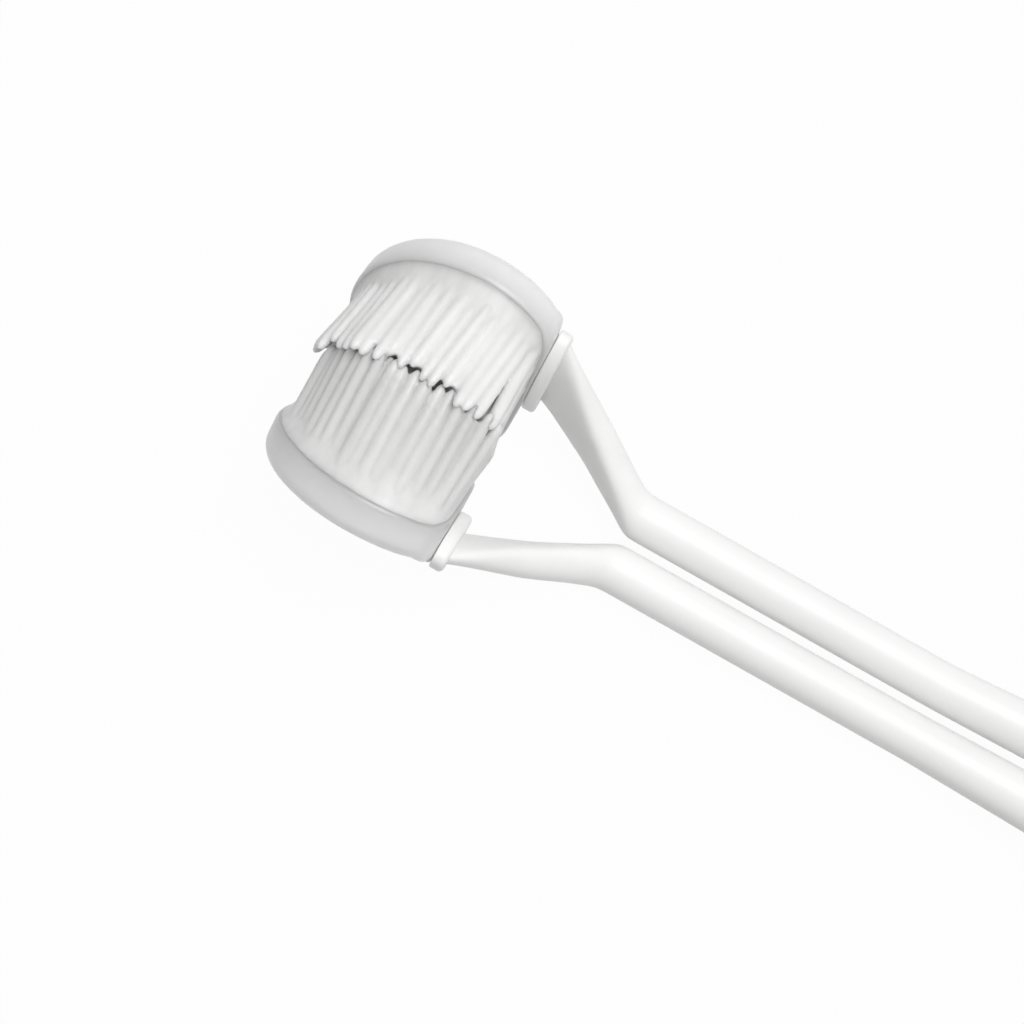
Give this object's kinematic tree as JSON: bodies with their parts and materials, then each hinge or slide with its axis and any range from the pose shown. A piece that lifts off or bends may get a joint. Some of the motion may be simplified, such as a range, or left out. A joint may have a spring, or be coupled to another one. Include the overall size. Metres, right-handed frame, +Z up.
{
  "type": "two-headed manual toothbrush",
  "caption": "Manual toothbrush with a pair of round translucent heads whose soft bristles face each other on sprung arms, so that both sides of a tooth are brushed at once.",
  "frame": {"origin": "on the table under the middle of the brush", "axes": "+X from the heads to the tail of the grip, +Z up out of the table, +Y to the user's right when the heads point away"},
  "size_m": [0.19, 0.0294, 0.026],
  "materials": {
    "head_plastic": "frosted translucent plastic with a soft gloss",
    "soft_bristle": "milky translucent elastomer",
    "core_plastic": "moulded",
    "arm_plastic": "smooth white, satin gloss",
    "grip_plastic": "smooth white, satin gloss",
    "steel": "drawn stainless wire and strip"
  },
  "bodies": {
    "grip": {"grip_bottom_shell": "grip_plastic", "grip_top_shell": "grip_plastic", "right_pivot_pin": "steel", "left_pivot_pin": "steel", "closing_spring": "steel"},
    "right_arm_body": {"right_arm": "arm_plastic"},
    "left_arm_body": {"left_arm": "arm_plastic"},
    "right_head": {"right_head_shell": "head_plastic", "right_head_core": "core_plastic", "right_bristle_pad": "soft_bristle"},
    "left_head": {"left_head_shell": "head_plastic", "left_head_core": "core_plastic", "left_bristle_pad": "soft_bristle"}
  },
  "joints": [
    {"name": "right_arm_spread", "type": "hinge", "parent": "grip", "child": "right_arm_body", "pos_m": [0.007, 0.0035, 0.005], "axis": [0, 0, -1], "range_deg": [0, 4], "stiffness_Nm_per_rad": 0.8, "springref_deg": -1.72, "deforming": ["closing_spring"]},
    {"name": "left_arm_spread", "type": "hinge", "parent": "grip", "child": "left_arm_body", "pos_m": [0.007, -0.0035, 0.005], "axis": [0, 0, 1], "range_deg": [0, 4], "stiffness_Nm_per_rad": 0.8, "springref_deg": -1.72, "deforming": ["closing_spring"]},
    {"name": "right_head_pull", "type": "slide", "parent": "right_arm_body", "child": "right_head", "axis": [-1, 0, 0], "range_m": [0, 0.006]},
    {"name": "left_head_pull", "type": "slide", "parent": "left_arm_body", "child": "left_head", "axis": [-1, 0, 0], "range_m": [0, 0.006]}
  ]
}
